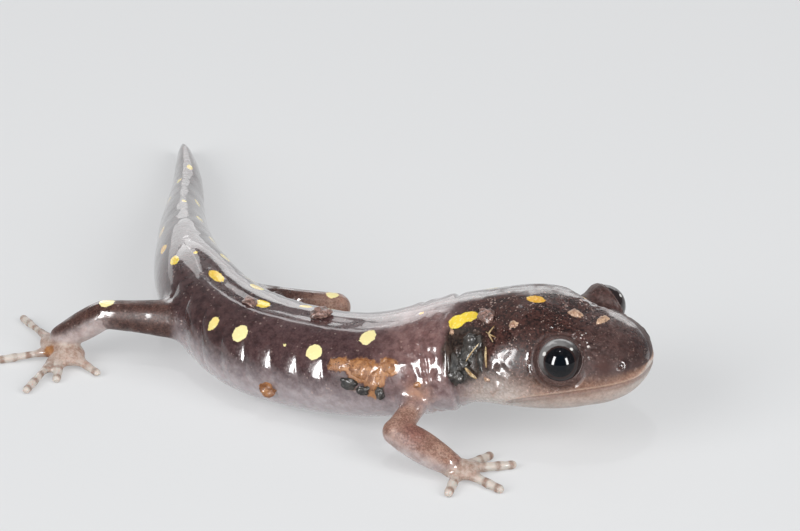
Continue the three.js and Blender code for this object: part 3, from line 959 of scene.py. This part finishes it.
# Tones on display, 0 to 255. Of a pair, the first shows where the mottling is low.
BACK = (56, 36, 37), (92, 68, 68)
SHOULDERS = (106, 76, 74), (146, 114, 110)
HIPS = (44, 29, 29), (78, 56, 55)
CROWN = (31, 18, 16), (78, 47, 41)
SNOUT_TOP = (58, 40, 38), (96, 74, 70)
NOSE = (44, 29, 28), (72, 52, 49)
LOW_FACE = (146, 106, 86), (188, 148, 124)
JAW = (150, 134, 126), (186, 170, 162)
THROAT = (178, 168, 161), (208, 200, 195)
BELLY = (150, 137, 140), (178, 168, 169)
FORELEG_TOP = (124, 91, 78), (170, 137, 121)
FLUSHED_SKIN = (90, 54, 50), (138, 94, 84)
HIND_LEG_TOP = (50, 31, 28), (96, 68, 60)
LEG_BELOW = (166, 149, 146), (194, 181, 178)
DIGITS = (194, 185, 176), (140, 115, 102)
PADS = (142, 116, 102), (184, 160, 147)
PALE_PADS = (198, 186, 176)
RUST = (186, 138, 108)
FRECKLES = (196, 168, 157)
GLINT_WHITE = (240, 234, 230)
PALE_TO_YELLOW = (240, 226, 164), (240, 208, 62)
ORANGE = (226, 164, 44)
SPOT_LIGHT = (255, 246, 190)
MOULD_TONES = (20, 17, 15), (66, 54, 46)
MUD_TONES = (126, 76, 38), (182, 128, 78)
NOSTRIL = (64, 34, 28)
UPPER_LIP = (214, 186, 168)
LOWER_LIP_SHADE = (96, 74, 68)
LIDS = (60, 42, 39), (88, 66, 62)
RIMS = (62, 44, 42), (104, 84, 80)

along_body = wire.read("along")
side_height = wire.read("side_turn")
lip = wire.read("mouth_line")
on_limb = wire.read("limb")
on_digit = wire.read("digit")
on_lid = wire.read("lids")
on_rim = wire.read("rim")
dry_back = wire.read("dry")
ruddy = wire.read("ruddy")
head = 1 - along_body.rise(11.5, 15.5)
mottle = wire.grain(0.7, 5.0, 0.65)
fine = wire.grain(0.2, 2.0, 0.6)
tiny = wire.grain(0.14, 3.0, 0.6)
blotch = mottle * 0.6 + fine * 0.4
grit = mottle * 0.45 + tiny * 0.55

# The back, browner at the shoulders and darker over the hips.
back = blotch.shade(0.3, 0.7, BACK)
shoulder = along_body.rise(13.2, 16.0) * (1 - along_body.rise(17.0, 22.0))
back = (shoulder * 0.75).mix(back, mottle.shade(0.35, 0.66, SHOULDERS))
back = (along_body.rise(26, 33) * 0.7).mix(back, mottle.shade(0.3, 0.7, HIPS))

# The head: dark above with a paler snout, and clay brown below the eyes.
snout = 1 - along_body.rise(2.2, 5.2)
nose = 1 - along_body.rise(0.6, 2.2)
head_top = (mottle * 0.45 + fine * 0.55).shade(0.38, 0.62, CROWN)
head_top = (snout * 0.8).mix(head_top, blotch.shade(0.35, 0.65, SNOUT_TOP))
head_top = (nose * 0.8).mix(head_top, mottle.shade(0.3, 0.7, NOSE))
tip = lip.rise(0.4, 1.4) * (1 - along_body.rise(1.2, 4.0))
high_face = (side_height + (mottle - 0.5) * 14).rise(-20, 20).most(tip)
face = high_face.mix(fine.shade(0.3, 0.72, LOW_FACE), head_top)

# The belly and throat, in a ragged edge against the back.
belly = head.mix(mottle.shade(0.25, 0.8, BELLY), fine.shade(0.25, 0.8, THROAT))
pale_edge = (wire.read("pale") + (mottle - 0.5) * 0.35).rise(0.05, 0.95)
tone = pale_edge.mix(head.mix(back, face), belly)

# The legs, dark above and pale below, with bands across the digits and paler palms.
fore_top = wire.read("flush").mix(
    grit.shade(0.38, 0.62, FORELEG_TOP), grit.shade(0.38, 0.62, FLUSHED_SKIN)
)
limb_top = along_body.rise(27, 33).mix(fore_top, grit.shade(0.35, 0.65, HIND_LEG_TOP))
turned_down = wire.read("under") * (0.5 + wire.read("apart") * 0.5) + (mottle - 0.5) * 0.35
limb_tone = turned_down.rise(0.05, 1.0).mix(limb_top, mottle.shade(0.3, 0.7, LEG_BELOW))
tone = on_limb.mix(tone, limb_tone)
bands = wire.read("band") + (mottle - 0.5) * 1.3 + (fine - 0.5) * 0.5
tone = on_digit.mix(tone, bands.shade(0.25, 1.0, DIGITS))
palm = (mottle.rise(0.4, 0.65) * 0.55).lay(grit.shade(0.3, 0.7, PADS), PALE_PADS)
tone = wire.read("pads").mix(tone, palm)
rusty = wire.read("rust") * 0.75 + (mottle - 0.5) * 0.6
tone = rusty.rise(0.2, 0.9).lay(tone, RUST)

# Pale freckles, fewer on the snout, and before the eye white dots that are painted
# highlights, as glints on droplets.
freckle = 1 - (wire.cells(0.38) + (wire.grain(1.0) - 0.5) * 1.0).rise(0.03, 0.14)
dust = 1 - (wire.cells(0.22) + (wire.grain(0.8) - 0.5) * 1.1).rise(0.06, 0.2)
freckle = (freckle * (0.45 + mottle * 0.8)).most(dust * head * 0.6)
freckled = freckle * (head * 0.5 + 0.3) * (1 - snout * 0.7) * (1 - on_digit)
tone = freckled.lay(tone, FRECKLES)
# White dots before the eye: painted highlights.
glint_dot = 1 - (wire.cells(0.34) + (mottle - 0.5) * 0.7).rise(0.18, 0.32)
tone = (glint_dot * wire.read("painted_glint_dots").rise(0.25, 0.6)).lay(tone, GLINT_WHITE)

# Stains round the soil, and over them the spots, from pale yellow to orange.
stain = (wire.read("mould_stain") + (mottle - 0.5) * 0.9).rise(-0.15, 0.25)
tone = (stain * 0.9).mix(tone, (mottle * 0.5 + fine * 0.5).shade(0.35, 0.65, MOULD_TONES))
muddy = wire.read("clay_stain") + (mottle - 0.5) * 0.7 + (fine - 0.5) * 0.25
muddy = muddy.rise(-0.05, 0.14)
tone = (muddy * 0.95).mix(tone, mottle.shade(0.3, 0.7, MUD_TONES))
yolk = wire.read("spot_yolk")
yellow = yolk.rise(0.55, 0.95).lay(yolk.shade(0.25, 0.5, PALE_TO_YELLOW), ORANGE)
yellow = (fine.rise(0.5, 0.75) * 0.5).lay(yellow, SPOT_LIGHT)
spot_line = wire.read("spot_edge") + (wire.grain(0.28, 3.0, 0.6) - 0.5) * 0.26
tone = spot_line.rise(-0.025, 0.03).mix(tone, yellow)

# The nostril, lower jaw, lips, lids and rims.
tone = (ruddy * 0.75).lay(tone, NOSTRIL)
jaw = head * (1 - lip.rise(-0.25, 0.02)) * (1 - along_body.rise(6.5, 9.2))
tone = (jaw * 0.5).mix(tone, mottle.shade(0.3, 0.7, JAW))
upper_lip = lip.rise(0.03, 0.09) * (1 - lip.rise(0.14, 0.3))
tone = (upper_lip * 0.35).lay(tone, UPPER_LIP)
# A darker band just below the mouth line: painted shade under the upper lip.
lower_lip_shade = lip.rise(-0.6, -0.1) * (1 - lip.rise(-0.02, 0.05))
tone = (lower_lip_shade * 0.5).lay(tone, LOWER_LIP_SHADE)
tone = (on_lid * 0.7).mix(tone, fine.shade(0.3, 0.7, LIDS))
tone = on_rim.mix(tone, wire.grain(0.6).mix(paint(*RIMS[0]), paint(*RIMS[1])))
feed(skin_shader, tone, "Base Color")

# The film of water, thick on the flanks and broken on the head and legs.
film = along_body.rise(7.2, 9.2).most(side_height.rise(52, 66))
film = film * (1 - head * 0.4) * (1 - on_limb * 0.7) * (1 - on_lid) * (1 - dry_back * 0.9)
film = film + (wire.grain(1.1, 2.0, 0.6) - 0.5) * (head + on_limb * 1.3)
film = (film + wire.read("wet")).rise(0.25, 0.75)
feed(skin_shader, film * (1 - stain * 0.6), "Coat Weight")
dull = dry_back * 0.35 + ruddy * 0.35 - on_rim * 0.2
feed(skin_shader, 0.46 - film * 0.28 + (fine - 0.5) * 0.25 + dull, "Roughness")
height = fine * 0.6 + tiny * 0.25 + mottle * 0.9 - freckle * 0.3 + muddy * (mottle * 1.5 + 0.8)
feed(skin_shader, height.bump(0.5, 0.00006), "Normal")
skin.data.materials.append(skin_material)
thin = skin.modifiers.new("thin", "DECIMATE")
thin.ratio = 0.52  # keeps the skin under 200,000 triangles
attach(skin, "root")
FLESH_NODES = [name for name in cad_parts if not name.endswith("_eye")]
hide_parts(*FLESH_NODES)

# ---- Eyes -----------------------------------------------------------------------------------
# Wet glassy eyeballs, set deep in the lids: a clear bulging front over a near-black pupil and
# iris, and round them the grey edge of the ball, with painted reflection that sets its lighter
# and darker sides, and two pale flecks that are painted highlights.
SNUG = 0.05
CORNEA_BULGE = 0.06
IRIS_DROP = np.radians(12)
IRIS_BACK = np.radians(7)
# The two pale flecks on the edge of each ball are painted highlights.
PAINTED_EYE_HIGHLIGHTS = [(38, 36, 6), (-36, 28, 5)]  # degrees towards the tail and the top, and across
# The painted reflection on the edge of each eyeball, for each eye:
RING_PAINTED_REFLECTION = {-1: (0.75, 0.35, 0.35), 1: (-0.9, -0.6, -0.3)}  # towards the top, the tail, all over
PUPIL = (2, 8, 16)
IRIS = (6, 8, 12), (26, 24, 28)
IRIS_EDGE = (46, 32, 30)
BALL_EDGE_AND_PAINTED_REFLECTION = (40, 32, 32), (128, 126, 125)
EYE_HIGHLIGHT_TONE = (226, 224, 220)


def eyeball(side):
    """The ball as a surface of revolution about the gaze, SNUG millimetres larger than its hole:
    its radius swells by CORNEA_BULGE times the fourth power of the cosine of the angle from the
    gaze."""
    bend = np.radians(np.linspace(179, 1, 90))
    radius = (EYE_RADIUS + SNUG) * (1 + CORNEA_BULGE * np.maximum(0, np.cos(bend)) ** 4)
    grid = turned_shape(side, radius * np.cos(bend), radius * np.sin(bend), 96)
    points, faces = closed_grid(grid)
    middle, gaze, high, flank_way = eye_frame(side)
    way = unit(points - middle)
    axis = unit(gaze - np.tan(IRIS_DROP) * high - side * np.tan(IRIS_BACK) * flank_way)
    off = np.degrees(np.arccos(np.clip(way @ axis, -1, 1)))
    # The edge of the ball gets painted reflection, set by how far each point faces up and towards the
    # tail.
    top, tailward, even = RING_PAINTED_REFLECTION[side]
    light = even + top * (way @ high) - side * tailward * (way @ flank_way)
    painted_highlight = np.zeros(len(points))
    for tailward, top, size in PAINTED_EYE_HIGHLIGHTS:
        tailward, top = np.tan(np.radians(tailward)), np.tan(np.radians(top))
        place = unit(axis + top * high - side * tailward * flank_way)
        painted_highlight = np.maximum(painted_highlight, hump(np.degrees(np.arccos(way @ place)), 0, size))
    return points, faces, {"off_axis": off, "ring_painted_reflection": np.clip(light, 0, 1), "painted_highlight": painted_highlight}


eye_material, eye_shader, wire = new_material(
    "salamander_wet_eye",
    Roughness=0.2,
    IOR=1.4,
    Specular_IOR_Level=0.0,
    Coat_Weight=1.0,
    Coat_Roughness=0.01,
    Coat_IOR=1.37,
)
off = wire.read("off_axis")
streak = wire.grain(0.22, 3.0, 0.6)
ball = (off + (streak - 0.5) * 3).rise(17, 20).mix(paint(*PUPIL), streak.shade(0.35, 0.75, IRIS))
ball = off.rise(36, 40).lay(ball, IRIS_EDGE)
# Painted reflection on the grey edge of the ball.
ring_painted_reflection = wire.read("ring_painted_reflection") + (wire.grain(0.4) - 0.5) * 0.5
ball = (off + (streak - 0.5) * 4).rise(42, 46).mix(ball, ring_painted_reflection.shade(0.0, 1.0, BALL_EDGE_AND_PAINTED_REFLECTION))
# Two pale flecks on the ball's edge: painted highlights.
ball = (wire.read("painted_highlight") + (streak - 0.5) * 0.6).rise(0.3, 0.6).lay(ball, EYE_HIGHLIGHT_TONE)
feed(eye_shader, ball, "Base Color")
for side, name in ((-1, "right_eye"), (1, "left_eye")):
    eye = finished("salamander_" + name, *eyeball(side))
    eye.data.materials.append(eye_material)
    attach(eye, "root")
    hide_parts(name)

# ---- Clay, leaf mould and straw -------------------------------------------------------------
# Scraps of the forest floor that stick to the wet skin: an orange clay crust with black crumbs
# on the flank, a cake of black leaf mould on the neck, and flakes, lumps and bits of straw.
CLAY = [  # s, turn, length along, height round, thickness in mm, tilt in degrees
    (22.35, 32, 1.7, 0.9, 0.12, -8),
    (20.95, 29, 2.1, 1.5, 0.16, 0),
    (19.15, 33, 1.3, 1.1, 0.17, 10),
    (20.15, 19, 1.1, 1.9, 0.15, 12),
    (28.45, 1, 0.6, 0.9, 0.12, 0),
    (17.3, 12, 0.7, 0.5, 0.1, 0),
]
MOULD = [
    (12.2, 41, 1.9, 1.7, 0.22, 0),
    (13.9, 21, 2.2, 2.6, 0.16, 10),
    (12.9, 31, 1.6, 1.8, 0.12, 0),
    (11.3, 25, 0.8, 1.8, 0.14, -10),
]
FLAKES = [
    (4.75, 84.5, 0.95, 0.95, 0.14, 0),
    (8.65, 57, 0.7, 0.75, 0.16, 20),
    (3.05, 90, 0.5, 1.7, 0.2, 8),
    (14.4, 57, 0.45, 0.5, 0.14, 0),
    (10.7, 9.5, 0.9, 0.5, 0.2, 10),
    (31.8, 85, 0.6, 0.5, 0.18, 0),
]


def scrap(at, round_at, long, tall, thick, tilt, seed):
    """A scrap stuck on the skin: a disc, its edge ragged by waves round it, that bulges to its
    thickness with lumps a third as high, and whose edge and back dip under the skin."""
    phase = np.random.default_rng(seed).uniform(0, 6.283, 9)
    a = np.linspace(0, 2 * np.pi, 80, False)
    order = np.arange(2, 11)[:, None]
    rim = 1 + 0.08 * (np.sin(order * a + phase[:, None]) / np.sqrt(order / 2)).sum(0)
    r = np.concatenate([np.linspace(0.02, 1, 30), np.linspace(0.98, 0.03, 8)])[:, None]
    c, q = cos_sin(tilt)
    x, y = r * rim * np.cos(a) * long / 2, r * rim * np.sin(a) * tall / 2
    per_degree = np.linalg.norm(skin_point(at, round_at + 1) - skin_point(at, round_at - 1)) / 2
    s_here, turn_here = at + c * x - q * y, round_at + (q * x + c * y) / per_degree
    lumps = waves(skin_point(s_here, turn_here).reshape(-1, 3), 1.1, seed + 1).reshape(x.shape)
    top = thick * (1 - r**2) * (0.8 + 0.35 * lumps) + 0.03 * (1 - r**6) - 0.05 * r**6
    face = np.where(np.arange(len(r))[:, None] < 30, top, -0.3 * (1 - r) - 0.08)
    return closed_grid(skin_point(s_here, turn_here, face))


def crumb(at, round_at, out, sizes, seed):
    """A lump of soil: a ball of three half sizes in mm, dented by waves, set on the skin."""
    ball = unit_ball(22, 32, 0.04)
    dents = waves(ball.reshape(-1, 3), 1.3, seed).reshape(ball.shape[:2])
    rough = waves(ball.reshape(-1, 3), 0.5, seed + 7).reshape(ball.shape[:2])
    ball = ball * (1 + 0.2 * dents + 0.06 * rough)[..., None] * sizes
    axes = np.stack([along(table, at) for table in (FORWARD, LEFT, OVER)])
    return closed_grid((skin_point(at, round_at, out) + ball @ axes)[::-1])


def stalk(places, radius):
    """A bit of stalk: a thin tube through places on the skin, each s, turn and height off it,
    fine at both ends."""
    knots = np.array([skin_point(s, turn, out) for s, turn, out in places])
    t = np.linspace(0, len(knots) - 1, 24)
    path = np.stack([np.interp(t, range(len(knots)), knots[:, k]) for k in range(3)], -1)
    for _ in range(6):
        path[1:-1] = (path[:-2] + 2 * path[1:-1] + path[2:]) / 4
    ahead = unit(np.gradient(path, axis=0))
    side = unit(np.cross(ahead, UP + 0.01))
    turn = np.linspace(0, 2 * np.pi, 10, False)[:, None]
    around = np.cos(turn) * side[:, None] + np.sin(turn) * np.cross(side, ahead)[:, None]
    thick = radius * (0.25 + 0.75 * np.sin(np.linspace(0, np.pi, len(path))) ** 0.5)
    return closed_grid(path[:, None] + around * thick[:, None, None])


def soil_piece(name, parts, dark, light, size, coat):
    """One object from closed parts, in a wet earthy material of two tones, its grains of that
    size in mm."""
    piece = finished(name, *joined(parts), {})
    face_outwards(piece)
    material, shader, wire = new_material(name, IOR=1.4, Coat_Weight=coat, Coat_Roughness=0.08)
    grain = wire.grain(size, 5.0, 0.65)
    speck = wire.grain(0.12, 2.0, 0.6)
    tone = grain.shade(0.36, 0.66, (dark, light))
    tone = speck.rise(0.58, 0.7).lay(tone, [0.5 * value for value in dark])
    feed(shader, tone, "Base Color")
    feed(shader, 0.35 + speck * 0.3, "Roughness")
    feed(shader, (grain * 0.8 + speck * 0.5).bump(0.8, 0.00012), "Normal")
    piece.data.materials.append(material)
    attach(piece, "root")


clay = [scrap(*place, 40 + number) for number, place in enumerate(CLAY)]
clay.append(crumb(27.45, -14.5, 0.1, (0.75, 0.55, 0.5), 71))
soil_piece("orange_clay", clay, (120, 72, 36), (178, 124, 76), 0.5, 0.3)
mould = [scrap(*place, 60 + number) for number, place in enumerate(MOULD)]
mould += [
    crumb(21.65, 12.5, 0.12, (0.6, 0.25, 0.45), 81),
    crumb(20.8, 7, 0.12, (0.5, 0.25, 0.4), 82),
    crumb(19.8, 5.5, 0.15, (0.36, 0.3, 0.5), 83),
    crumb(12.4, 45, 0.25, (0.45, 0.3, 0.4), 84),
    crumb(14.1, 15, 0.2, (0.5, 0.3, 0.5), 85),
    crumb(13.3, 24, 0.25, (0.4, 0.3, 0.4), 86),
]
soil_piece("leaf_mould", mould, (20, 18, 16), (62, 56, 50), 0.4, 0.35)
flakes = [scrap(*place, 90 + number) for number, place in enumerate(FLAKES)]
soil_piece("tan_flakes", flakes, (148, 108, 84), (206, 172, 142), 0.35, 0.3)
lumps = [
    crumb(11.2, 66, 0.1, (0.6, 0.5, 0.45), 101),
    crumb(10.85, 62, 0.15, (0.4, 0.4, 0.4), 102),
    crumb(11.5, 70, 0.15, (0.35, 0.35, 0.35), 103),
    crumb(25.4, 92, 0.25, (0.62, 0.6, 0.42), 104),
    crumb(24.9, 96, 0.2, (0.35, 0.4, 0.3), 105),
    crumb(31.5, 83, 0.05, (0.6, 0.5, 0.28), 106),
]
soil_piece("brown_lumps", lumps, (84, 60, 52), (160, 124, 112), 0.3, 0.6)
stalks = [
    stalk([(10.75, 37, 0.1), (10.6, 28, 0.3), (10.65, 19, 0.12)], 0.09),
    stalk([(13.0, 22, 0.3), (12.4, 16, 0.4), (11.8, 11, 0.2)], 0.13),
    stalk([(10.2, 55, 0.1), (10.5, 47, 0.35), (10.0, 40, 0.15)], 0.06),
    stalk([(10.9, 50, 0.15), (10.3, 46, 0.35), (9.8, 44, 0.1)], 0.05),
    stalk([(11.4, 40, 0.3), (12.2, 32, 0.45), (12.9, 26, 0.3)], 0.05),
]
soil_piece("straw_bits", stalks, (150, 116, 66), (222, 200, 156), 0.4, 0.4)

# ---- Floor, light and camera ----------------------------------------------------------------
# A wide pale light table, matt and glowing faintly, so that shadows are weak. A tall soft lamp
# on each side of the camera and wide ones low behind give the wet skin its upright highlights
# and pale rim, and two far glows light it evenly.
CAMERA_AZIMUTH = 26.0
CAMERA_ELEVATION = 27.4
CAMERA_DISTANCE = 290.0
CAMERA_LENS = 168
TARGET = np.array([3.274, 0.389, 6.0])
FLOOR_REACH = 2.5
LAMP_TARGET = np.array([6.0, -3.0, 4.0])
LAMPS = [  # name, azimuth past the camera's, elevation, distance, width, height in mm, radiance
    ("lamp_left", -37, 23, 230, 46, 176, 42, "gloss"),
    ("lamp_right", 39, 19, 230, 42, 130, 38, "gloss"),
    ("halo_left", -37, 20, 240, 80, 170, 2, "gloss"),
    ("halo_right", 39, 20, 240, 70, 170, 2, "gloss"),
    ("glow_left", -50, 30, 700, 430, 430, 5.4, "matt"),
    ("glow_right", 45, 30, 700, 430, 430, 5.5, "matt"),
    ("lamp_behind_low", 188, 6, 260, 560, 55, 1.4, "both"),
    ("lamp_behind", 172, 19, 260, 250, 64, 2.4, "gloss"),
    ("lamp_behind_high", 196, 31.5, 260, 22, 55, 3.0, "gloss"),
    ("lamp_behind_top", 196.5, 44, 260, 44, 36, 4.2, "gloss"),
    ("lamp_behind_tail", 208.5, 25, 260, 84, 118, 3.1, "gloss"),
    ("lamp_camera", 0, 78, 260, 16, 16, 60, "both"),
    ("lamp_over", 0, 88, 400, 600, 600, 0.4, "matt"),
]


def direction(azimuth, elevation):
    """The way from the middle of the floor to a place at that azimuth and elevation: azimuth 0
    is the side that faces -Y, and 90 the side that faces +X."""
    a, e = np.radians(azimuth), np.radians(elevation)
    return np.array([np.sin(a) * np.cos(e), -np.cos(a) * np.cos(e), np.sin(e)])


def soft_lamp(name, azimuth, elevation, distance, width, height, radiance, lights):
    """A rectangular lamp that faces LAMP_TARGET from its direction and lights only the gloss of
    things, only their matt colour, or both."""
    data = bpy.data.lights.new(name, "AREA")
    data.shape = "RECTANGLE"
    data.size, data.size_y = width * MM, height * MM
    data.energy = radiance * np.pi * width * height * MM * MM
    lamp = bpy.data.objects.new(name, data)
    way = direction(CAMERA_AZIMUTH + azimuth, elevation)
    lamp.location = Vector((LAMP_TARGET + way * distance) * MM)
    lamp.rotation_euler = Vector(way).to_track_quat("Z", "Y").to_euler()
    lamp.visible_camera = False
    lamp.visible_glossy = lights != "matt"
    lamp.visible_diffuse = lights != "gloss"
    bpy.context.scene.collection.objects.link(lamp)


floor_mesh = bpy.data.meshes.new("pale_table")
corner = np.array([[-1, -1, 0], [1, -1, 0], [1, 1, 0], [-1, 1, 0]]) * FLOOR_REACH
floor_mesh.from_pydata(corner.tolist(), [], [(0, 1, 2, 3)])
floor = bpy.data.objects.new("pale_table", floor_mesh)
bpy.context.scene.collection.objects.link(floor)
floor_material, _, _ = new_material(
    "pale_table",
    Base_Color=(0.42, 0.423, 0.426, 1),
    Roughness=0.6,
    Specular_IOR_Level=0.0,
    Emission_Color=(0.98, 0.99, 1.0, 1),
    Emission_Strength=0.345,
)
floor.data.materials.append(floor_material)
for lamp in LAMPS:
    soft_lamp(*lamp)

world = bpy.data.worlds.new("studio")
bpy.context.scene.world = world
world.use_nodes = True
sky = world.node_tree.nodes["Background"]
sky.inputs["Color"].default_value = (0.93, 0.96, 1.0, 1)
sky.inputs["Strength"].default_value = 0.2

camera_data = bpy.data.cameras.new("camera")
camera_data.sensor_fit = "HORIZONTAL"
camera_data.sensor_width = 36
camera_data.lens = CAMERA_LENS
camera_data.clip_start = 0.01
camera = bpy.data.objects.new("camera", camera_data)
way = direction(CAMERA_AZIMUTH, CAMERA_ELEVATION)
camera.location = Vector((TARGET + way * CAMERA_DISTANCE) * MM)
camera.rotation_euler = Vector(way).to_track_quat("Z", "Y").to_euler()
bpy.context.scene.collection.objects.link(camera)
bpy.context.scene.camera = camera
bpy.context.scene.view_settings.view_transform = "Standard"
